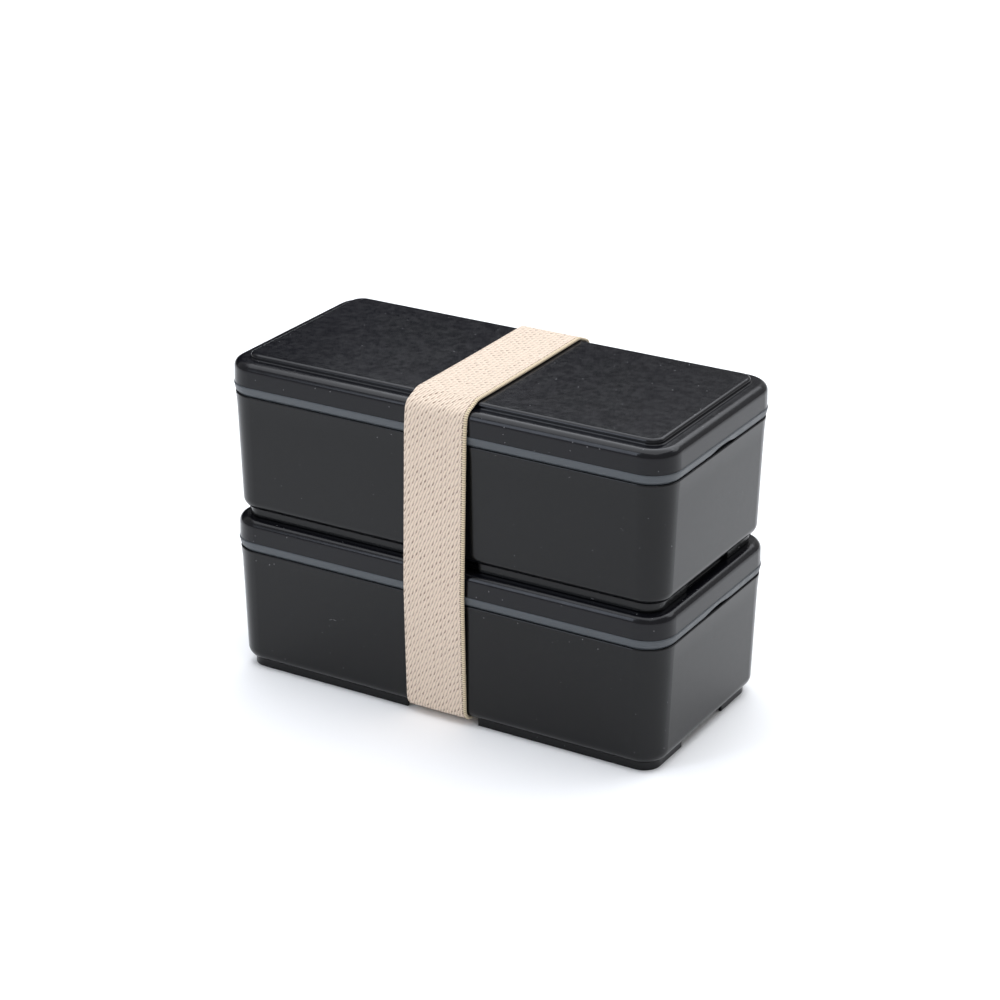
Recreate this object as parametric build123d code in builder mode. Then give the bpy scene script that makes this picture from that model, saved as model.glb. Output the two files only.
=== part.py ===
from build123d import *

import math
import os

# A lunch box of two stacked tiers, held shut by one elastic strap.
#
# Millimetres, +Z up. The origin is under the middle of the lower tier, on the surface
# that it stands on. X runs along the box and Y across it.
#
# Every wall is a section swept round the same rounded rectangle. A section's corner is
# (inset, height, radius): how far it stands in from the widest outline, how high it is
# above its own tier's foot, and how round it is.

# The widest outline, round the seal
LENGTH = 175.0
WIDTH = 85.0
CORNER = 11.2
GUIDE_INSET = 6.0
OVERLAP = 1.0

# Tiers
TIERS = {"lower": 0, "upper": 1}
LEDGE_HEIGHT = 59.1
TIER_PITCH = LEDGE_HEIGHT

# Tub
TUB_WALL = 1.8
TUB_FLOOR = 1.8
TUB_BASE = 3.0
TUB_RIM = 47.2
RIM_INSET = 0.55
RIM_ROUND = 0.4
FLARE_INSET = 0.95
FLARE_FOOT = 42.5
FLARE_BEND = 80.0
DRAFT = math.tan(math.radians(1.8))
TUB_EDGE = 4.0
FLOOR_EDGE = 3.0
PLATE_INSET = 10.0

# Foot ring, open in the middle of every side
FOOT_INSET = 4.7
FOOT_WALL = 1.2
FOOT_ROOT = 0.6
FOOT_ROUND = 0.35
STRAP_GAP = 29.2
END_GAP = 31.2

# Seal between tub and lid
SEAL_TOP = 50.8
SEAL_EDGE = 0.4
SEAL_SKIRT = 48.05
SEAL_SKIRT_INSET = 0.6
SEAL_LAND_INSET = 1.4
SEAL_STEP_INSET = 1.1
SEAL_TONGUE = (48.6, 49.8)
SEAL_TONGUE_DEPTH = 1.0
TONGUE_PLAY = 0.05
RELIEF_LENGTH = 18.0
RELIEF_RISE = 0.95
RELIEF_DEPTH = 2.2

# Lid: an outer cover over a liner that carries the seal
COVER_FOOT_INSET = 0.32
COVER_TOP_INSET = 0.5
COVER_WALL = 1.7
COVER_FOOT_ROUND = 0.25
COVER_EDGE = 2.8
COVER_INNER_EDGE = 1.2
PLATEAU_TOP = 61.0
PLATEAU_INSET = 6.3
PLATEAU_LEAN = 0.15
PLATEAU_ROOT = 0.4
PLATEAU_EDGE = 1.1
LINER_INSET = 3.4
LINER_LEAN = 0.15
LINER_WALL = 2.0
LINER_BASE = 44.2
LINER_FLOOR = 1.5
LINER_EDGE = 1.5
LINER_INNER_EDGE = 1.0

# Elastic strap
STRAP_WIDTH = 24.4
STRAP_THICK = 1.2
STRAP_CLEAR = 0.15
LAP_LENGTH = 20.0
LAP_EDGE = 0.4
STITCH_LENGTH = 2.6
STITCH_WIDTH = 0.5
STITCH_RISE = 0.25
STITCH_PITCH = 3.6
STITCH_ROWS = 2
STITCH_ROW_GAP = 10.0
STITCH_COUNT = 6


def outline(inset):
    """Length, width and corner radius of the outline at an inset."""
    return LENGTH - 2 * inset, WIDTH - 2 * inset, CORNER - inset


def guide(base):
    """The closed line that wall sections are swept along, from the middle of the front."""
    x = LENGTH / 2 - GUIDE_INSET
    y = WIDTH / 2 - GUIDE_INSET
    turn = CORNER - GUIDE_INSET
    with BuildLine(Plane.XY.offset(base)) as line:
        FilletPolyline(
            (0, -y), (x, -y), (x, y), (-x, y), (-x, -y),
            radius=[0, turn, turn, turn, turn],
            close=True,
        )
    return line.wire()


def wall_plane(base):
    """The plane across the front wall, with its first axis outward and its second up."""
    origin = (0, GUIDE_INSET - WIDTH / 2, base)
    return Plane(origin=origin, x_dir=(0, -1, 0), z_dir=(-1, 0, 0))


def corners(section):
    """Where a section's corners are on the wall plane."""
    return [(GUIDE_INSET - inset, height) for inset, height, _ in section]


def radii(section):
    """How round a section's corners are."""
    return [radius for _, _, radius in section]


def tub_inset(height):
    """Inset of the tub's drafted outer wall at a height."""
    return FLARE_INSET + (FLARE_FOOT - height) * DRAFT


def tub_section():
    """Rim, flared and drafted wall, rounded bottom edge and the start of the floor."""
    floor_top = TUB_BASE + TUB_FLOOR
    outer = [
        (RIM_INSET, TUB_RIM, RIM_ROUND),
        (FLARE_INSET, FLARE_FOOT, FLARE_BEND),
        (tub_inset(TUB_BASE), TUB_BASE, TUB_EDGE),
        (PLATE_INSET, TUB_BASE, 0),
    ]
    inner = [
        (PLATE_INSET, floor_top, 0),
        (tub_inset(floor_top) + TUB_WALL, floor_top, FLOOR_EDGE),
        (FLARE_INSET + TUB_WALL, FLARE_FOOT, FLARE_BEND),
        (RIM_INSET + TUB_WALL, TUB_RIM, RIM_ROUND),
    ]
    return outer + inner


def foot_section():
    """A low ring with rounded lower edges, which runs up into the tub's underside."""
    return [
        (FOOT_INSET, TUB_BASE + FOOT_ROOT, 0),
        (FOOT_INSET, 0, FOOT_ROUND),
        (FOOT_INSET + FOOT_WALL, 0, FOOT_ROUND),
        (FOOT_INSET + FOOT_WALL, TUB_BASE + FOOT_ROOT, 0),
    ]


def make_tub(tier, base):
    """The open container on its foot ring. The strap crosses the gaps in the long sides."""
    foot = foot_section()
    section = tub_section()
    with BuildPart() as tub:
        with BuildSketch(wall_plane(base)):
            with BuildLine():
                FilletPolyline(*corners(foot), radius=radii(foot), close=True)
            make_face()
        sweep(path=guide(base))
        with BuildSketch(Plane.XY.offset(base)):
            Rectangle(STRAP_GAP, WIDTH)
            Rectangle(LENGTH, END_GAP)
        extrude(amount=TUB_BASE + FOOT_ROOT, mode=Mode.SUBTRACT)
        with BuildSketch(wall_plane(base)):
            with BuildLine():
                FilletPolyline(*corners(section), radius=radii(section), close=True)
            make_face()
        sweep(path=guide(base))
        with BuildSketch(Plane.XY.offset(base + TUB_BASE)):
            RectangleRounded(*outline(PLATE_INSET - OVERLAP))
        extrude(amount=TUB_FLOOR)
    tub.part.label = f"{tier}_tub"
    return tub.part


def seal_section():
    """A soft ring: a band that shows outside, a land on the tub's rim, and a tongue."""
    tongue_foot, tongue_top = SEAL_TONGUE
    tongue_end = LINER_INSET + SEAL_TONGUE_DEPTH
    return [
        (0, SEAL_TOP, SEAL_EDGE),
        (SEAL_SKIRT_INSET, SEAL_SKIRT, SEAL_EDGE / 2),
        (SEAL_STEP_INSET, SEAL_SKIRT, 0),
        (SEAL_LAND_INSET, TUB_RIM, 0),
        (LINER_INSET, TUB_RIM, 0),
        (LINER_INSET, tongue_foot, 0),
        (tongue_end, tongue_foot, 0),
        (tongue_end, tongue_top, 0),
        (LINER_INSET, tongue_top, 0),
        (LINER_INSET, SEAL_TOP, 0),
    ]


def make_seal(tier, base):
    """The seal, with a finger relief under its band in the middle of each short side."""
    section = seal_section()
    relief_radius = (RELIEF_LENGTH**2 / 4 + RELIEF_RISE**2) / (2 * RELIEF_RISE)
    relief_height = base + SEAL_SKIRT + RELIEF_RISE - relief_radius
    with BuildPart() as seal:
        with BuildSketch(wall_plane(base)):
            with BuildLine():
                FilletPolyline(*corners(section), radius=radii(section), close=True)
            make_face()
        sweep(path=guide(base))
        with BuildSketch(Plane.YZ.offset(LENGTH / 2 - RELIEF_DEPTH)):
            with Locations((0, relief_height)):
                Circle(relief_radius)
        cut = extrude(amount=RELIEF_DEPTH, mode=Mode.SUBTRACT)
        mirror(cut, about=Plane.YZ, mode=Mode.SUBTRACT)
    seal.part.label = f"{tier}_seal"
    return seal.part


def liner_section():
    """Plug wall with the seal's groove in it, and the start of the liner's floor."""
    groove_foot, groove_top = SEAL_TONGUE
    groove_end = LINER_INSET + SEAL_TONGUE_DEPTH + TONGUE_PLAY
    top = LEDGE_HEIGHT - COVER_WALL
    return [
        (LINER_INSET, top, 0),
        (LINER_INSET, groove_top + TONGUE_PLAY, 0),
        (groove_end, groove_top + TONGUE_PLAY, 0),
        (groove_end, groove_foot - TONGUE_PLAY, 0),
        (LINER_INSET, groove_foot - TONGUE_PLAY, 0),
        (LINER_INSET + LINER_LEAN, LINER_BASE, LINER_EDGE),
        (PLATE_INSET, LINER_BASE, 0),
        (PLATE_INSET, LINER_BASE + LINER_FLOOR, 0),
        (LINER_INSET + LINER_WALL, LINER_BASE + LINER_FLOOR, LINER_INNER_EDGE),
        (LINER_INSET + LINER_WALL, top, 0),
    ]


def make_lid_liner(tier, base):
    """The lid's inner shell, which plugs into the tub and carries the seal."""
    section = liner_section()
    with BuildPart() as liner:
        with BuildSketch(wall_plane(base)):
            with BuildLine():
                FilletPolyline(*corners(section), radius=radii(section), close=True)
            make_face()
        sweep(path=guide(base))
        with BuildSketch(Plane.XY.offset(base + LINER_BASE)):
            RectangleRounded(*outline(PLATE_INSET - OVERLAP))
        extrude(amount=LINER_FLOOR)
    liner.part.label = f"{tier}_lid_liner"
    return liner.part


def cover_section():
    """Skirt, rounded shoulder, ledge and the edge of the raised plateau."""
    plateau_under = PLATEAU_TOP - COVER_WALL
    ledge_under = LEDGE_HEIGHT - COVER_WALL
    outer = [
        (COVER_FOOT_INSET, SEAL_TOP, COVER_FOOT_ROUND),
        (COVER_TOP_INSET, LEDGE_HEIGHT, COVER_EDGE),
        (PLATEAU_INSET, LEDGE_HEIGHT, PLATEAU_ROOT),
        (PLATEAU_INSET + PLATEAU_LEAN, PLATEAU_TOP, PLATEAU_EDGE),
        (PLATE_INSET, PLATEAU_TOP, 0),
    ]
    inner = [
        (PLATE_INSET, plateau_under, 0),
        (PLATEAU_INSET + COVER_WALL, plateau_under, 0),
        (PLATEAU_INSET + COVER_WALL, ledge_under, 0),
        (COVER_TOP_INSET + COVER_WALL, ledge_under, COVER_INNER_EDGE),
        (COVER_FOOT_INSET + COVER_WALL, SEAL_TOP, 0),
    ]
    return outer + inner


def make_lid_cover(tier, base):
    """The lid's outer shell. The next tier's foot ring stands round its plateau."""
    section = cover_section()
    with BuildPart() as cover:
        with BuildSketch(wall_plane(base)):
            with BuildLine():
                FilletPolyline(*corners(section), radius=radii(section), close=True)
            make_face()
        sweep(path=guide(base))
        with BuildSketch(Plane.XY.offset(base + PLATEAU_TOP - COVER_WALL)):
            RectangleRounded(*outline(PLATE_INSET - OVERLAP))
        extrude(amount=COVER_WALL)
    cover.part.label = f"{tier}_lid_cover"
    return cover.part


def strap_turns():
    """The edges that the strap bears on, as (Y, Z, radius) on the +Y side."""
    lid = TIER_PITCH + LEDGE_HEIGHT - COVER_EDGE
    draft_angle = math.atan(DRAFT)
    tub_edge_height = TUB_BASE + TUB_EDGE
    tub_edge_inset = tub_inset(tub_edge_height) + TUB_EDGE / math.cos(draft_angle)
    plateau = TIER_PITCH + PLATEAU_TOP - PLATEAU_EDGE
    turns = [
        (PLATEAU_INSET + PLATEAU_LEAN + PLATEAU_EDGE, plateau, PLATEAU_EDGE),
        (COVER_TOP_INSET + COVER_EDGE, lid, COVER_EDGE),
        (SEAL_EDGE, TIER_PITCH + SEAL_TOP - SEAL_EDGE, SEAL_EDGE),
        (SEAL_EDGE, SEAL_TOP - SEAL_EDGE, SEAL_EDGE),
        (tub_edge_inset, tub_edge_height, TUB_EDGE),
    ]
    return [(WIDTH / 2 - inset, height, radius) for inset, height, radius in turns]


def make_strap():
    """The elastic band, as one stretched loop with its ends lapped under the box."""
    lap_face = TUB_BASE - STRAP_CLEAR - 2 * STRAP_THICK
    with BuildPart() as strap:
        with BuildSketch(Plane.YZ):
            for y, z, radius in strap_turns():
                with Locations((y, z), (-y, z)):
                    Circle(radius + STRAP_CLEAR + STRAP_THICK)
            make_hull()
            with Locations((0, lap_face)):
                Rectangle(LAP_LENGTH, 2 * STRAP_THICK, align=(Align.CENTER, Align.MIN))
        extrude(amount=STRAP_WIDTH / 2, both=True)
        with BuildSketch(Plane.YZ):
            for y, z, radius in strap_turns():
                with Locations((y, z), (-y, z)):
                    Circle(radius + STRAP_CLEAR)
            make_hull()
        extrude(amount=STRAP_WIDTH / 2, both=True, mode=Mode.SUBTRACT)
        lap_ends = strap.edges().group_by(Axis.Z)[0].filter_by(Axis.X)
        fillet(lap_ends, radius=LAP_EDGE)
    strap.part.label = "strap"
    return strap.part


def make_strap_stitching():
    """Rows of thread that sew the strap's lap, lying on its underside."""
    lap_face = TUB_BASE - STRAP_CLEAR - 2 * STRAP_THICK
    with BuildPart() as stitching:
        with BuildSketch(Plane.XY.offset(lap_face)):
            with GridLocations(STITCH_PITCH, STITCH_ROW_GAP, STITCH_COUNT, STITCH_ROWS):
                SlotOverall(STITCH_LENGTH, STITCH_WIDTH)
        extrude(amount=-STITCH_RISE)
    stitching.part.label = "strap_stitching"
    return stitching.part


def make_tier(tier, level):
    """One tier's four pieces."""
    base = level * TIER_PITCH
    makers = (make_tub, make_seal, make_lid_liner, make_lid_cover)
    return [make(tier, base) for make in makers]


pieces = [make_strap(), make_strap_stitching()]
for tier, level in TIERS.items():
    pieces += make_tier(tier, level)

os.makedirs("parts", exist_ok=True)
for piece in pieces:
    export_step(piece, f"parts/{piece.label}.step")
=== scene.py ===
import math

import bpy
import numpy as np
from mathutils import Matrix, Vector
from mathutils.geometry import convex_hull_2d


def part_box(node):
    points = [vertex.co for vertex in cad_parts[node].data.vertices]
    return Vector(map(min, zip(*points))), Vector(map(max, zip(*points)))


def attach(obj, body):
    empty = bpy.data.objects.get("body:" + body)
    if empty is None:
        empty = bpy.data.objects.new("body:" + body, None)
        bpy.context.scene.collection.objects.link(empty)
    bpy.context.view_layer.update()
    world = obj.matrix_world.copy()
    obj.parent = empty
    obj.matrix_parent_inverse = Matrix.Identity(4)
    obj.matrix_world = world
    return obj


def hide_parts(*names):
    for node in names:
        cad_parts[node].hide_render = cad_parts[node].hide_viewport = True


# The looks of a two-tier lunch box and its elastic strap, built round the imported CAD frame.
# Metres, +Z up, X along the box. Names that end in _MM hold millimetres.

MM = 0.001

# Camera: where it looks from, the height on the box's middle that it aims at, and how far
# the aim is moved right and up in the view
CAMERA_AZIMUTH = math.radians(30.30)
CAMERA_ELEVATION = math.radians(23.08)
CAMERA_ROLL = math.radians(0.23)
CAMERA_DISTANCE = 0.97646
CAMERA_AIM_HEIGHT = 0.05066
CAMERA_AIM_RIGHT = 0.000873
CAMERA_AIM_UP = 0.016749
CAMERA_LENS_MM = 98.8
CAMERA_SENSOR_MM = 36.0

# Strap: one woven elastic ribbon, lapped under the box. It has slid by STRAP_SHIFT along X
# under the box, and it leans by STRAP_LEAN from there to the top.
RIBBON_THICK = 1.15 * MM
RIBBON_STEP = 0.30 * MM
RIBBON_LAP = 20.0 * MM
RIBBON_RAMP = 5.0 * MM
RIBBON_SMOOTH = 5
STRAP_SHIFT = -0.4 * MM
STRAP_LEAN = 1.6 * MM
FACE_POINTS = 104
BACK_POINTS = 26
EDGE_POINTS = 9
EDGE_RADIUS = 0.55 * MM

# Weave, in millimetres: leaning ribs, with a slit in each rib at every warp column
WARP_PITCH_MM = 1.6
WEFT_PITCH_MM = 2.78
WEAVE_TURN = 1.47
RIB_RELIEF_MM = 0.11
SLIT_DEPTH_MM = 0.24
SLIT_LENGTH_MM = 1.6
SLIT_WIDTH_MM = 0.32
SLIT_STRAY = 0.22
WEAVE_STRAY_MM = 0.5
SLIT_LEAN = math.atan(WEAVE_TURN * WEFT_PITCH_MM / WARP_PITCH_MM)
SELVEDGE_MM = 1.1
SELVEDGE_PITCH_MM = 0.85
SELVEDGE_RELIEF_MM = 0.07
SELVEDGE_GROOVE_MM = 0.22
SELVEDGE_BLEND_MM = 0.12
SELVEDGE_GAP_MM = 0.2
SCALLOP_MM = 0.10
BACK_RELIEF = 0.6

# Stitches that hold the strap's lap
THREAD_RADIUS = 0.10 * MM
THREAD_TWIST = 0.9 * MM
THREAD_RINGS = 25
THREAD_SIDES = 8
STITCH_GAP = 0.5 * MM

# Colours, linear
TUB_COLOUR = (0.0035, 0.0037, 0.0042)
LID_COLOUR = (0.0035, 0.0036, 0.0052)
LINER_COLOUR = (0.0045, 0.0045, 0.0052)
SEAL_COLOUR = (0.062, 0.070, 0.078)
DUST_COLOUR = (0.30, 0.30, 0.31, 1.0)
YARN_DARK = (0.69, 0.557, 0.443, 1.0)
YARN_PALE = (0.74, 0.620, 0.510, 1.0)
RUBBER_COLOUR = (0.70, 0.59, 0.40, 1.0)
# Painted shade: the dark colour laid into the strap's slits, rib grooves and selvedge grooves
PIT_SHADE_COLOUR = (0.15, 0.10, 0.065, 1.0)
THREAD_DARK = (0.45, 0.36, 0.26, 1.0)
THREAD_PALE = (0.62, 0.54, 0.43, 1.0)

# Plastic: how rough each moulding is, and its refraction
TUB_ROUGHNESS = 0.20
LID_ROUGHNESS = 0.18
LINER_ROUGHNESS = 0.27
PLASTIC_IOR = 1.34
SILICONE_IOR = 1.43

# Dust and lint on the plastic: cells to the metre, and a speck's size as a share of a cell
DUST_CELLS = 360.0
DUST_SIZE = 0.055
LINT_CELLS = 150.0
LINT_SIZE = 0.033
LINT_STRENGTH = 0.5
LINT_TURN = (0.5, 0.9, 0.7)
LINT_STRETCH = (0.16, 1.0, 1.0)
LINT_WANDER = 0.006

# Stage: powers in watts, places and sizes in metres
FLOOR_SIZE = 9.0
FLOOR_WHITE = 0.96
OVERHEAD_POWER = 20.0
OVERHEAD_PLACE = (-0.10, 0.15, 1.20)
OVERHEAD_AIM = (-0.10, 0.15, 0.0)
OVERHEAD_SIZE = (1.7, 1.6)
BEHIND_POWER = 20.0
BEHIND_PLACE = (0.2, 1.60, 1.53)
BEHIND_AIM = (0.0, 0.0, 0.05)
BEHIND_SIZE = (3.4, 0.8)
FRONT_LEFT_POWER = 4.6
FRONT_LEFT_PLACE = (-0.64, -1.22, 0.90)
FRONT_LEFT_AIM = (0.0, 0.0, 0.1)
FRONT_LEFT_SIZE = (0.36, 1.1)
DAYLIGHT = (0.955, 0.985, 1.04)
WINDOW_LIGHT = (0.88, 0.97, 1.14)
ROOM_IN_FRONT = (0.50, 0.50, 0.50, 1.0)
ROOM_DARK = (0.01, 0.01, 0.012, 1.0)
ROOM_DARK_SIDE = (-1.2, 1.0, 0.0)
ROOM_DARK_FROM = 1.39
ROOM_BRIGHT_FROM = 1.19

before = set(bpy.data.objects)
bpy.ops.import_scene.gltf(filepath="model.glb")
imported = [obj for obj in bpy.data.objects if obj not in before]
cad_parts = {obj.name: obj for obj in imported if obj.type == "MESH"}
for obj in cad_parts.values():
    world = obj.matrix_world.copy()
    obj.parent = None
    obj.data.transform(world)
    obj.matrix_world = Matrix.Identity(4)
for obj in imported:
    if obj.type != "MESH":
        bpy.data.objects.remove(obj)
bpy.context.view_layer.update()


# ---------------------------------------------------------------- helpers

def link(obj):
    """Puts a new object in the scene."""
    bpy.context.scene.collection.objects.link(obj)
    return obj


def node_points(name):
    """A CAD node's vertices as an array."""
    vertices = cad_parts[name].data.vertices
    points = np.zeros(len(vertices) * 3)
    vertices.foreach_get("co", points)
    return points.reshape(-1, 3)


def smooth_step(value):
    """0 below 0, 1 above 1, and a smooth ramp between."""
    value = np.clip(value, 0.0, 1.0)
    return value * value * (3.0 - 2.0 * value)


class Nodes:
    """A short way to build a material's node tree."""

    def __init__(self, name):
        self.material = bpy.data.materials.new(name)
        self.material.use_nodes = True
        self.tree = self.material.node_tree
        self.shader = self.tree.nodes["Principled BSDF"]

    def add(self, kind, inputs=None, **settings):
        """A node with its settings made. An input is a value or another node's socket."""
        node = self.tree.nodes.new(kind)
        for key, value in settings.items():
            setattr(node, key, value)
        for key, value in (inputs or {}).items():
            self.plug(node.inputs[key], value)
        return node

    def plug(self, socket, value):
        """Links a socket to another, or sets it to a value."""
        if isinstance(value, bpy.types.NodeSocket):
            self.tree.links.new(value, socket)
        else:
            socket.default_value = value

    def math(self, operation, first, second=0.0, third=0.0):
        """The result of one calculation."""
        inputs = {0: first, 1: second, 2: third}
        return self.add("ShaderNodeMath", inputs, operation=operation).outputs[0]

    def product(self, *factors):
        """Several values multiplied together."""
        result = factors[0]
        for factor in factors[1:]:
            result = self.math("MULTIPLY", result, factor)
        return result

    def largest(self, *values):
        """The largest of several values."""
        result = values[0]
        for value in values[1:]:
            result = self.math("MAXIMUM", result, value)
        return result

    def ramp(self, value, low, high, low_out=0.0, high_out=1.0):
        """Value mapped smoothly from one range to another."""
        inputs = {"Value": value, "From Min": low, "From Max": high}
        inputs |= {"To Min": low_out, "To Max": high_out}
        node = self.add("ShaderNodeMapRange", inputs, interpolation_type="SMOOTHSTEP")
        return node.outputs["Result"]

    def noise(self, vector, scale, detail=3.0, roughness=0.55):
        """Fractal noise from 0 to 1."""
        inputs = {"Vector": vector, "Scale": scale, "Detail": detail, "Roughness": roughness}
        return self.add("ShaderNodeTexNoise", inputs).outputs["Fac"]

    def blend(self, factor, first, second):
        """One colour faded into another."""
        inputs = {"Factor": factor, "A": first, "B": second}
        node = self.tree.nodes.new("ShaderNodeMix")
        node.data_type = "RGBA"
        for key, value in inputs.items():
            kind = "VALUE" if key == "Factor" else "RGBA"
            self.plug(pick_socket(node.inputs, kind, key), value)
        return pick_socket(node.outputs, "RGBA", "Result")

    def bump(self, height, strength, distance, below=None):
        """A normal bent by a height."""
        inputs = {"Height": height, "Strength": strength, "Distance": distance}
        if below is not None:
            inputs["Normal"] = below
        return self.add("ShaderNodeBump", inputs).outputs["Normal"]

    def finish(self, **values):
        """Sets the shader's sockets. An underscore in a name stands for a space."""
        for key, value in values.items():
            self.plug(self.shader.inputs[key.replace("_", " ")], value)
        return self.material


def pick_socket(sockets, kind, name):
    """The socket of that kind and name. A mix node has one for each kind it can mix."""
    return next(socket for socket in sockets if socket.type == kind and socket.name == name)


# ---------------------------------------------------------------- materials

def toned(colour, factor):
    """A colour made darker or paler, with full opacity."""
    return tuple(channel * factor for channel in colour) + (1.0,)


def speck_mask(nodes, place, scale, size):
    """Sparse dust: 1 inside a speck. One cell in two holds one, of its own size."""
    inputs = {"Vector": place, "Scale": scale, "Randomness": 1.0}
    cells = nodes.add("ShaderNodeTexVoronoi", inputs)
    pick = nodes.add("ShaderNodeSeparateXYZ", {0: cells.outputs["Color"]})
    chosen = nodes.ramp(pick.outputs["X"], 0.45, 0.55)
    reach = nodes.math("MULTIPLY_ADD", pick.outputs["Y"], size, size * 0.4)
    inside = nodes.math("LESS_THAN", cells.outputs["Distance"], reach)
    return nodes.product(inside, chosen)


def lint_mask(nodes, place, scale, size):
    """Sparse short fibres: specks stretched along a wandering direction."""
    warp = nodes.add("ShaderNodeTexNoise", {"Vector": place, "Scale": 260.0, "Detail": 1.0})
    reach = (LINT_WANDER,) * 3
    shift = nodes.add(
        "ShaderNodeVectorMath", {0: warp.outputs["Color"], 1: reach}, operation="MULTIPLY")
    moved = nodes.add("ShaderNodeVectorMath", {0: place, 1: shift.outputs[0]}, operation="ADD")
    stretch = nodes.add("ShaderNodeMapping", {
        "Vector": moved.outputs[0], "Rotation": LINT_TURN, "Scale": LINT_STRETCH})
    return speck_mask(nodes, stretch.outputs[0], scale, size)


def moulded_plastic(name, colour, roughness):
    """Satin moulded plastic: fine grain, a faint wave in the surface, dust and lint."""
    nodes = Nodes(name)
    place = nodes.add("ShaderNodeTexCoord").outputs["Object"]
    dust = speck_mask(nodes, place, DUST_CELLS, DUST_SIZE)
    lint = lint_mask(nodes, place, LINT_CELLS, LINT_SIZE)
    marks = nodes.largest(dust, nodes.product(lint, LINT_STRENGTH))
    cloud = nodes.noise(place, 38.0, 4.0)
    base = nodes.blend(cloud, toned(colour, 0.8), toned(colour, 1.25))
    dusty = nodes.blend(nodes.product(marks, 0.5), base, DUST_COLOUR)
    rub = nodes.noise(place, 420.0, 5.0)
    rough = nodes.ramp(rub, 0.3, 0.7, roughness - 0.03, roughness + 0.03)
    grain = nodes.noise(place, 5200.0, 2.0)
    wave = nodes.noise(place, 28.0, 1.0)
    low = nodes.bump(wave, 0.12, 0.0003)
    fine = nodes.bump(grain, 0.05, 0.00004, low)
    return nodes.finish(
        Base_Color=dusty,
        Roughness=nodes.math("ADD", rough, nodes.product(marks, 0.35)),
        Normal=fine,
        IOR=PLASTIC_IOR,
    )


def silicone(name, colour):
    """Soft grey silicone with a powdery bloom."""
    nodes = Nodes(name)
    place = nodes.add("ShaderNodeTexCoord").outputs["Object"]
    bloom = nodes.noise(place, 160.0, 4.0)
    grain = nodes.noise(place, 2600.0, 3.0)
    return nodes.finish(
        Base_Color=nodes.blend(bloom, toned(colour, 0.88), toned(colour, 1.14)),
        Roughness=nodes.ramp(bloom, 0.3, 0.7, 0.38, 0.5),
        Normal=nodes.bump(grain, 0.12, 0.0001),
        IOR=SILICONE_IOR,
    )


def slit_mask(nodes, across, along):
    """Painted shade in the slits between the leaning yarns: 1 in a slit's middle.

    There is one at every warp column of every row, each with its own darkness. A column
    lies a little off the pattern, and a slit's lower end gets the darkest painted shade, as under
    light from above. The same mask also sinks the bump."""
    columns = nodes.math("DIVIDE", across, WARP_PITCH_MM)
    column = nodes.math("ROUND", columns)
    side = nodes.product(nodes.math("SUBTRACT", columns, column), WARP_PITCH_MM)
    turned = nodes.math(
        "SUBTRACT", nodes.math("DIVIDE", along, WEFT_PITCH_MM), nodes.product(column, WEAVE_TURN))
    bent = nodes.add("ShaderNodeTexWhiteNoise", {"W": column}, noise_dimensions="1D")
    rows = nodes.math("ADD", turned, nodes.product(bent.outputs["Value"], SLIT_STRAY))
    row = nodes.math("ROUND", rows)
    rise = nodes.product(nodes.math("SUBTRACT", rows, row), WEFT_PITCH_MM)
    cell = nodes.add("ShaderNodeCombineXYZ", {0: column, 1: row})
    chance = nodes.add("ShaderNodeTexWhiteNoise", {"Vector": cell.outputs[0]})
    cosine = math.cos(SLIT_LEAN)
    sine = math.sin(SLIT_LEAN)
    beside = nodes.math("SUBTRACT", nodes.product(side, sine), nodes.product(rise, cosine))
    beyond = nodes.math("ADD", nodes.product(side, cosine), nodes.product(rise, sine))
    away = nodes.math("ABSOLUTE", beside)
    narrow = nodes.ramp(away, SLIT_WIDTH_MM * 0.3, SLIT_WIDTH_MM, 1.0, 0.0)
    reach = nodes.math("ABSOLUTE", beyond)
    short = nodes.ramp(reach, SLIT_LENGTH_MM * 0.3, SLIT_LENGTH_MM * 0.6, 1.0, 0.0)
    low = nodes.ramp(beyond, -SLIT_LENGTH_MM * 0.5, SLIT_LENGTH_MM * 0.5, 1.0, 0.45)
    strength = nodes.ramp(chance.outputs["Value"], 0.0, 1.0, 0.45, 1.0)
    return nodes.product(narrow, short, low, strength)


def rib_shade(nodes, across, along):
    """The soft shadow between the leaning ribs: 1 in a groove's middle."""
    phase = nodes.math(
        "SUBTRACT",
        nodes.math("DIVIDE", along, WEFT_PITCH_MM),
        nodes.math("DIVIDE", across, WARP_PITCH_MM / WEAVE_TURN),
    )
    return nodes.ramp(nodes.math("COSINE", nodes.product(phase, 2 * math.pi)), 0.1, 1.0)


def selvedge_shade(nodes, across, along, edge, half_width):
    """Painted shade on the selvedge: in the grooves between its rungs, and darker dots where the
    rungs end at the woven face, in the groove there.
    """
    turn = nodes.product(along, 2 * math.pi / SELVEDGE_PITCH_MM)
    rung = nodes.ramp(nodes.math("COSINE", turn), -0.6, 0.6, 1.0, 0.0)
    inside = nodes.math("SUBTRACT", across, half_width - SELVEDGE_MM)
    border = nodes.ramp(nodes.math("ABSOLUTE", inside), 0.10, 0.32, 1.0, 0.0)
    dots = nodes.product(border, nodes.math("MULTIPLY_ADD", rung, 0.9, 0.1))
    return nodes.largest(dots, nodes.product(rung, edge, 0.62))


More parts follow.
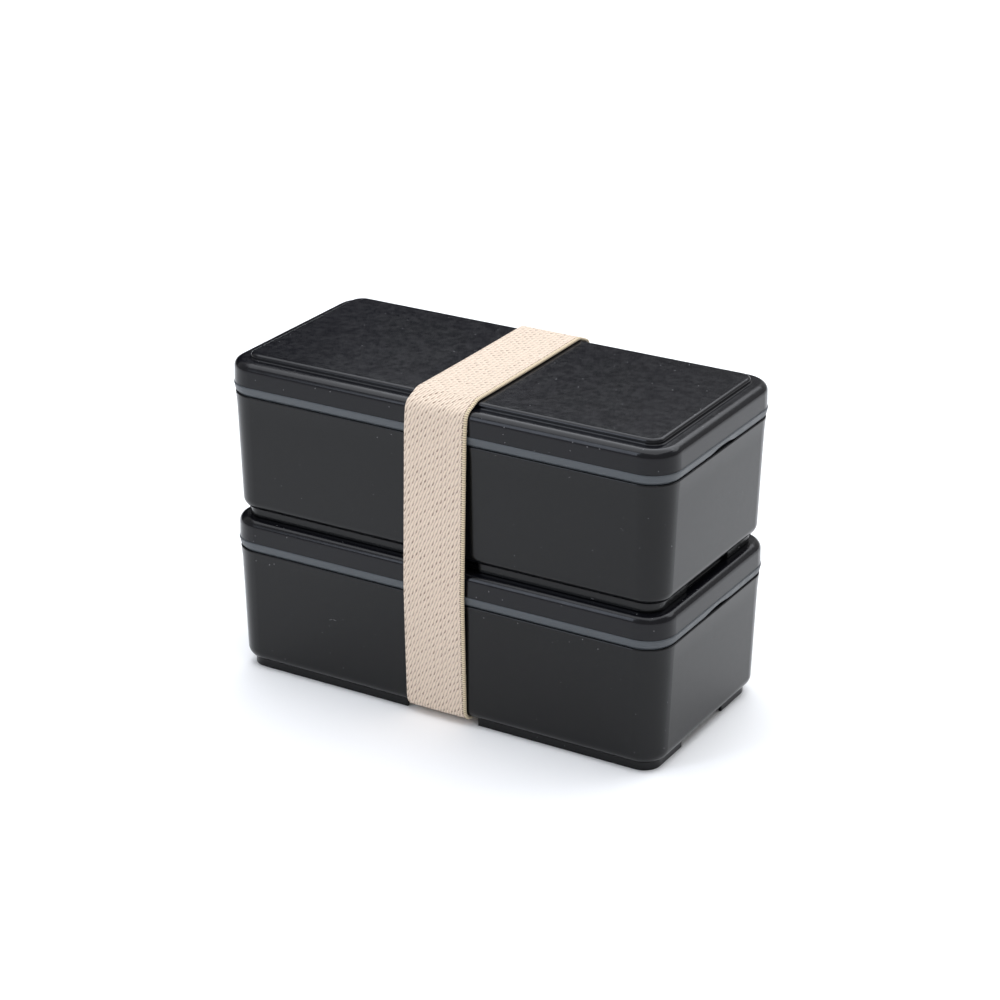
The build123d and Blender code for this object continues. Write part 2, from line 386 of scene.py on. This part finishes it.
def elastic(name, half_width):
    """Cream woven elastic with a rubbery selvedge, and painted shade in its slits and grooves.
    Places across and along the strap, in millimetres, come with the mesh. half_width is in
    millimetres too."""
    nodes = Nodes(name)
    cloth = nodes.add("ShaderNodeAttribute", attribute_name="cloth").outputs["Vector"]
    across, along, _ = nodes.add("ShaderNodeSeparateXYZ", {0: cloth}).outputs
    across = nodes.math("MULTIPLY_ADD", nodes.noise(cloth, 0.55, 2.0), WEAVE_STRAY_MM, across)
    edge = nodes.add("ShaderNodeAttribute", attribute_name="selvedge").outputs["Fac"]
    face = nodes.math("SUBTRACT", 1.0, edge)
    mottle = nodes.noise(cloth, 0.9, 3.0)
    yarn = nodes.blend(mottle, YARN_DARK, YARN_PALE)
    rubber = nodes.blend(edge, yarn, RUBBER_COLOUR)
    slit = nodes.product(slit_mask(nodes, across, along), face)
    uneven = nodes.ramp(nodes.noise(cloth, 1.3, 2.0), 0.3, 0.7, 0.20, 0.48)
    groove = nodes.product(rib_shade(nodes, across, along), face, uneven)
    hem_shade = selvedge_shade(nodes, across, along, edge, half_width)
    # Painted shade: the slits, the grooves between the ribs and the selvedge's grooves darken
    # towards the pit shade colour
    shade = nodes.largest(nodes.product(slit, 0.95), groove, hem_shade)
    fuzz = nodes.noise(cloth, 7.0, 4.0, 0.7)
    height = nodes.math("SUBTRACT", nodes.product(fuzz, 0.6), slit)
    return nodes.finish(
        Base_Color=nodes.blend(shade, rubber, PIT_SHADE_COLOUR),
        Roughness=0.88,
        Normal=nodes.bump(height, 0.6, 0.00012),
        Sheen_Weight=0.18,
        Sheen_Roughness=0.5,
    )


def thread_material(name):
    """Twisted sewing thread."""
    nodes = Nodes(name)
    place = nodes.add("ShaderNodeTexCoord").outputs["Object"]
    twist = nodes.add("ShaderNodeTexWave", {
        "Vector": place, "Scale": 900.0, "Distortion": 1.5}, bands_direction="DIAGONAL")
    return nodes.finish(
        Base_Color=nodes.blend(twist.outputs["Fac"], THREAD_DARK, THREAD_PALE),
        Roughness=0.7,
        Normal=nodes.bump(twist.outputs["Fac"], 0.5, 0.00005),
    )


def floor_material():
    """A plain pale floor with a barely uneven tone."""
    nodes = Nodes("studio_floor")
    place = nodes.add("ShaderNodeTexCoord").outputs["Object"]
    tone = nodes.noise(place, 3.0, 2.0)
    low = (FLOOR_WHITE - 0.005,) * 3 + (1.0,)
    high = (FLOOR_WHITE + 0.005,) * 3 + (1.0,)
    return nodes.finish(Base_Color=nodes.blend(tone, low, high), Roughness=0.9)


def dress_cad_nodes():
    """Gives every CAD node that stays its material."""
    tub = moulded_plastic("tub_plastic", TUB_COLOUR, TUB_ROUGHNESS)
    lid = moulded_plastic("lid_plastic", LID_COLOUR, LID_ROUGHNESS)
    liner = moulded_plastic("liner_plastic", LINER_COLOUR, LINER_ROUGHNESS)
    seal = silicone("seal_silicone", SEAL_COLOUR)
    looks = {"tub": tub, "lid_cover": lid, "lid_liner": liner, "seal": seal}
    for tier in ("lower", "upper"):
        for piece, material in looks.items():
            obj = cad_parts[f"{tier}_{piece}"]
            obj.data.materials.clear()
            obj.data.materials.append(material)


# ---------------------------------------------------------------- strap

def strap_loop():
    """The strap's outer line across the box, from its CAD solid without the lap.

    It is closed, starts under the back half of the box where the lap starts, and runs
    to the front, up, over the top and down the back. Returns its points as (Y, Z) and
    their outward normals, one step apart, and the loop's length."""
    low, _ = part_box("strap")
    sides = node_points("strap")[:, 1:]
    sides = sides[sides[:, 1] > low.z + RIBBON_THICK * 0.9]
    rim = sides[convex_hull_2d([Vector(point) for point in sides])]
    area = np.sum(rim[:, 0] * np.roll(rim[:, 1], -1) - rim[:, 1] * np.roll(rim[:, 0], -1))
    if area > 0:
        rim = rim[::-1]
    turn = np.roll(rim, -1, 0) - rim
    lengths = np.hypot(*turn.T)
    total = lengths.sum()
    reach = np.concatenate([[0.0], np.cumsum(lengths)])
    closed = np.vstack([rim, rim[:1]])
    count = int(round(total / RIBBON_STEP))
    places = np.arange(count) * total / count
    line = np.stack([np.interp(places, reach, closed[:, axis]) for axis in (0, 1)], 1)
    for _ in range(RIBBON_SMOOTH):
        line = (np.roll(line, 1, 0) + 2 * line + np.roll(line, -1, 0)) / 4
    under = np.where(line[:, 1] < low.z + 2 * RIBBON_THICK)[0]
    start = under[np.argmin(np.abs(line[under, 0] - RIBBON_LAP / 2))]
    line = np.roll(line, -start, 0)
    ahead = np.roll(line, -1, 0) - np.roll(line, 1, 0)
    ahead /= np.linalg.norm(ahead, axis=1, keepdims=True)
    outward = np.stack([-ahead[:, 1], ahead[:, 0]], 1)
    return line, outward, total


def ribbon_section(half_width):
    """The ribbon's closed cross-section, as (across, depth under the face) points."""
    flat = half_width - EDGE_RADIUS
    face = np.linspace(-flat, flat, FACE_POINTS)
    back = np.linspace(flat, -flat, BACK_POINTS)
    arc = np.linspace(0, math.pi, EDGE_POINTS + 2)[1:-1]
    middle = RIBBON_THICK / 2
    right = np.stack([flat + EDGE_RADIUS * np.sin(arc), middle - middle * np.cos(arc)], 1)
    left = np.stack([-flat - EDGE_RADIUS * np.sin(arc), middle + middle * np.cos(arc)], 1)
    rows = [
        np.stack([face, np.zeros_like(face)], 1),
        right,
        np.stack([back, np.full_like(back, RIBBON_THICK)], 1),
        left,
    ]
    return np.vstack(rows)


def weave_depth(across, along, half_width):
    """How deep the woven face lies under its highest threads, in millimetres, and how much
    of a point belongs to the rubbery selvedge on the +X side. Lengths in millimetres."""
    column = np.round(across / WARP_PITCH_MM)
    phase = along / WEFT_PITCH_MM - WEAVE_TURN * across / WARP_PITCH_MM
    rib = 0.5 - 0.5 * np.cos(2 * math.pi * (phase - 0.5))
    side = across - column * WARP_PITCH_MM
    rows = along / WEFT_PITCH_MM - WEAVE_TURN * column
    rise = (rows - np.round(rows)) * WEFT_PITCH_MM
    beside = side * math.sin(SLIT_LEAN) - rise * math.cos(SLIT_LEAN)
    beyond = side * math.cos(SLIT_LEAN) + rise * math.sin(SLIT_LEAN)
    slit = np.exp(-(beside / SLIT_WIDTH_MM) ** 2 - (2 * beyond / SLIT_LENGTH_MM) ** 2)
    body = RIB_RELIEF_MM * rib + SLIT_DEPTH_MM * slit
    inside = across - (half_width - SELVEDGE_MM)
    edge = smooth_step(inside / SELVEDGE_BLEND_MM)
    rung = 0.5 - 0.5 * np.cos(2 * math.pi * along / SELVEDGE_PITCH_MM)
    gap = np.exp(-(inside / SELVEDGE_GAP_MM) ** 2) * rung
    depth = body * (1 - edge) + SELVEDGE_RELIEF_MM * rung * edge + SELVEDGE_GROOVE_MM * gap
    return depth, edge


def fade(depth):
    """How much of the weave shows at a depth in the section: all on a face, none mid-edge."""
    return np.abs(1 - 2 * depth / RIBBON_THICK) ** 0.5


def ribbon_line():
    """The strap's outer line with its lap, whose end climbs onto the strap's start.

    Returns its (Y, Z) points, their outward normals, their lengths along the strap and the
    loop's length."""
    line, outward, total = strap_loop()
    step = total / len(line)
    stations = np.arange(int(round((total + RIBBON_LAP) / step)) + 1)
    along = stations * step
    wrapped = stations % len(line)
    lift = RIBBON_THICK * smooth_step((along - (total - RIBBON_RAMP)) / RIBBON_RAMP)
    return line[wrapped] + outward[wrapped] * lift[:, None], outward[wrapped], along, total


def make_strap(thread):
    """The woven ribbon round the box, its ends lapped under it and sewn with the thread. The
    thread argument is not used.
    """
    low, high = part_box("strap")
    half_width = (high.x - low.x) / 2
    centre, outward, along, total = ribbon_line()
    section = ribbon_section(half_width)
    across = np.broadcast_to(section[:, 0], (len(along), len(section)))
    run = np.broadcast_to(along[:, None], across.shape)
    depth, edge = weave_depth(across / MM, run / MM, half_width / MM)
    relief = np.where(section[:, 1] < RIBBON_THICK / 2, 1.0, -BACK_RELIEF)
    sink = section[:, 1] + relief * depth * MM * fade(section[:, 1])
    place = centre[:, None, :] - outward[:, None, :] * sink[:, :, None]
    upward = (1 - np.cos(2 * math.pi * run / total)) / 2
    sideways = across + STRAP_SHIFT + STRAP_LEAN * upward ** 2
    scallop = SCALLOP_MM * MM * (1 - np.cos(2 * math.pi * run / MM / WEFT_PITCH_MM)) / 2
    sideways += scallop * (across < EDGE_RADIUS - half_width)
    mesh = tubes_mesh("strap_elastic", [np.concatenate([sideways[:, :, None], place], 2)])
    cloth = np.stack([across / MM, run / MM, np.zeros_like(depth)], 2)
    put_attribute(mesh, "cloth", "FLOAT_VECTOR", "vector", cloth)
    side = np.maximum(edge, across > half_width - EDGE_RADIUS)
    put_attribute(mesh, "selvedge", "FLOAT", "value", side)
    strap = link(bpy.data.objects.new("strap_elastic", mesh))
    mesh.materials.append(elastic("strap_elastic", half_width / MM))
    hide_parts("strap")
    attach(strap, "elastic_strap")


def twisted_stitch(length, rise):
    """One stitch's two strands of thread along X, arched over a face at height 0, downward."""
    run = np.linspace(-length / 2, length / 2, THREAD_RINGS)
    arch = np.sqrt(np.clip(1 - (2 * run / length) ** 4, 0, 1))
    low = -(rise - 2 * THREAD_RADIUS) * arch
    turn = 2 * math.pi * run / THREAD_TWIST
    around = np.arange(THREAD_SIDES) * 2 * math.pi / THREAD_SIDES
    ring = np.stack([np.zeros_like(around), np.cos(around), np.sin(around)], 1)
    spread = THREAD_RADIUS * 0.8
    strands = []
    for start in (0.0, math.pi):
        aside = spread * np.cos(turn + start)
        height = low + spread * np.sin(turn + start)
        middle = np.stack([run, aside, height], 1)
        strands.append(middle[:, None, :] + THREAD_RADIUS * ring[None, :, :])
    return strands


def make_stitching():
    """The thread that sews the strap's lap, one twisted stitch for each one of the CAD's."""
    low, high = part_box("strap_stitching")
    tubes = []
    for left, right, row in stitch_places():
        for strand in twisted_stitch(right - left, high.z - low.z):
            tubes.append(strand + np.array([(left + right) / 2, row, high.z]))
    mesh = tubes_mesh("strap_thread", tubes)
    mesh.materials.append(thread_material("strap_thread"))
    thread = link(bpy.data.objects.new("strap_thread", mesh))
    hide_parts("strap_stitching")
    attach(thread, "elastic_strap")
    return thread


def stitch_places():
    """Each CAD stitch's two ends in X and its row's middle in Y.

    There is a row on each side of Y 0, and the gaps between its vertices part its stitches."""
    points = node_points("strap_stitching")
    places = []
    for side in np.unique(np.sign(points[:, 1])):
        row = points[np.sign(points[:, 1]) == side]
        ends = np.unique(np.round(row[:, 0], 6))
        breaks = np.where(np.diff(ends) > STITCH_GAP)[0]
        starts = np.concatenate([[0], breaks + 1])
        stops = np.concatenate([breaks, [len(ends) - 1]])
        middle = (row[:, 1].min() + row[:, 1].max()) / 2
        places += [(ends[start], ends[stop], middle) for start, stop in zip(starts, stops)]
    return places


def tubes_mesh(name, tubes):
    """One mesh of closed tubes. A tube is rows of points, with its two ends capped."""
    points, faces, used = [], [], 0
    for tube in tubes:
        rows, columns = tube.shape[:2]
        index = np.arange(rows * columns).reshape(rows, columns) + used
        side = np.roll(index, -1, 1)
        quads = np.stack([index[:-1], side[:-1], side[1:], index[1:]], -1).reshape(-1, 4)
        faces += quads.tolist() + [index[0][::-1].tolist(), index[-1].tolist()]
        points += tube.reshape(-1, 3).tolist()
        used += rows * columns
    mesh = bpy.data.meshes.new(name)
    mesh.from_pydata(points, [], faces)
    mesh.polygons.foreach_set("use_smooth", [True] * len(mesh.polygons))
    mesh.update()
    return mesh


def put_attribute(mesh, name, kind, field, values):
    """Stores one value a vertex for a material to read."""
    attribute = mesh.attributes.new(name, kind, "POINT")
    attribute.data.foreach_set(field, np.ascontiguousarray(values, dtype=np.float32).ravel())


# ---------------------------------------------------------------- stage

def make_floor():
    """A pale floor that fills the camera's view."""
    bpy.ops.mesh.primitive_grid_add(x_subdivisions=4, y_subdivisions=4, size=FLOOR_SIZE)
    floor = bpy.context.object
    floor.name = "floor"
    floor.data.materials.append(floor_material())


def softbox(name, place, aim, size, power, tint):
    """A rectangular studio light. Its size is its width and height."""
    data = bpy.data.lights.new(name, "AREA")
    data.shape = "RECTANGLE"
    data.size, data.size_y = size
    data.energy = power
    data.color = tint
    light = link(bpy.data.objects.new(name, data))
    light.location = place
    light.rotation_euler = (Vector(aim) - Vector(place)).to_track_quat("-Z", "Y").to_euler()


def make_room():
    """A pale room with one dark patch, which the lids mirror."""
    world = bpy.data.worlds.new("room")
    world.use_nodes = True
    tree = world.node_tree
    way = tree.nodes.new("ShaderNodeTexCoord")
    toward = tree.nodes.new("ShaderNodeVectorMath")
    toward.operation = "DOT_PRODUCT"
    toward.inputs[1].default_value = ROOM_DARK_SIDE
    side = tree.nodes.new("ShaderNodeMapRange")
    side.interpolation_type = "SMOOTHSTEP"
    side.inputs["From Min"].default_value = ROOM_DARK_FROM
    side.inputs["From Max"].default_value = ROOM_BRIGHT_FROM
    tone = tree.nodes.new("ShaderNodeMix")
    tone.data_type = "RGBA"
    pick_socket(tone.inputs, "RGBA", "A").default_value = ROOM_DARK
    pick_socket(tone.inputs, "RGBA", "B").default_value = ROOM_IN_FRONT
    mixed = pick_socket(tone.outputs, "RGBA", "Result")
    tree.links.new(way.outputs["Generated"], toward.inputs[0])
    tree.links.new(toward.outputs["Value"], side.inputs["Value"])
    tree.links.new(side.outputs["Result"], tone.inputs["Factor"])
    tree.links.new(mixed, tree.nodes["Background"].inputs["Color"])
    bpy.context.scene.world = world


def make_lights():
    """A wide softbox overhead, one high behind the box and a cooler upright strip in front."""
    softbox("overhead", OVERHEAD_PLACE, OVERHEAD_AIM, OVERHEAD_SIZE, OVERHEAD_POWER, DAYLIGHT)
    softbox("behind", BEHIND_PLACE, BEHIND_AIM, BEHIND_SIZE, BEHIND_POWER, DAYLIGHT)
    softbox(
        "front_left", FRONT_LEFT_PLACE, FRONT_LEFT_AIM, FRONT_LEFT_SIZE, FRONT_LEFT_POWER,
        WINDOW_LIGHT)


def make_camera():
    """The camera, at the viewing angle and distance that show the box as it is."""
    level = math.cos(CAMERA_ELEVATION)
    toward_x = math.sin(CAMERA_AZIMUTH) * level
    toward_y = -math.cos(CAMERA_AZIMUTH) * level
    back = Vector((toward_x, toward_y, math.sin(CAMERA_ELEVATION)))
    right = Vector((0, 0, 1)).cross(back).normalized()
    up = back.cross(right)
    roll = Matrix.Rotation(CAMERA_ROLL, 3, back)
    right, up = roll @ right, roll @ up
    aim = Vector((0, 0, CAMERA_AIM_HEIGHT)) + right * CAMERA_AIM_RIGHT + up * CAMERA_AIM_UP
    data = bpy.data.cameras.new("camera")
    data.lens = CAMERA_LENS_MM
    data.sensor_width = CAMERA_SENSOR_MM
    camera = link(bpy.data.objects.new("camera", data))
    turn = Matrix((right, up, back)).transposed()
    camera.matrix_world = Matrix.Translation(aim + back * CAMERA_DISTANCE) @ turn.to_4x4()
    bpy.context.scene.camera = camera


dress_cad_nodes()
make_strap(make_stitching())
make_floor()
make_room()
make_lights()
make_camera()
bpy.context.scene.view_settings.view_transform = "Standard"
